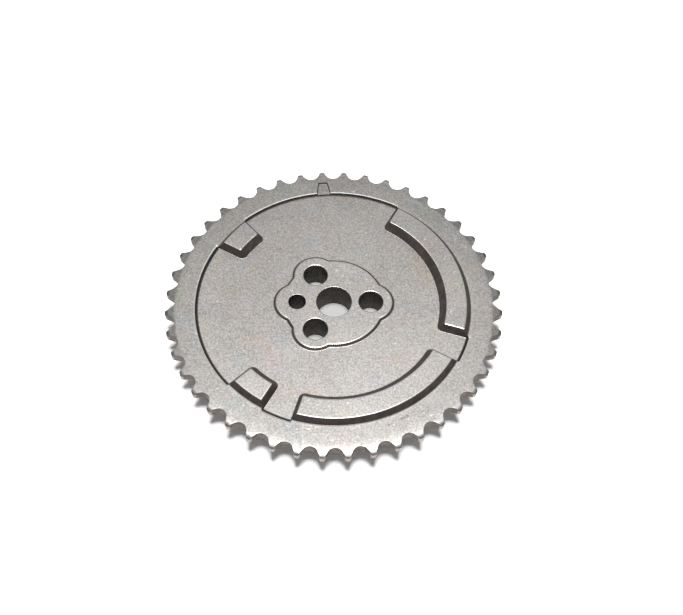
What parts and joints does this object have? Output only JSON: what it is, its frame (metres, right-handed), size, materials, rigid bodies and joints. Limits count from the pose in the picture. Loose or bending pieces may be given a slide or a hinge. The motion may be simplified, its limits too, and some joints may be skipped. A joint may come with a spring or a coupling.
{
  "type": "cam gear",
  "caption": "Flat sintered sprocket for an engine's timing chain, with a lobed bolt-on hub, raised sensor lands on its face and a timing mark in the rim.",
  "frame": {"origin": "centre of the bore in the plane of the hub's back face", "axes": "+Z along the axis, from the hub's back face towards the lands; +X through one bolt hole and -X through the dowel hole"},
  "size_m": [0.135, 0.135, 0.0145],
  "materials": {
    "sintered_steel": "sintered and coined steel, uncoated, faces lightly burnished"
  },
  "bodies": {
    "root": {"cam_gear": "sintered_steel"}
  },
  "joints": []
}
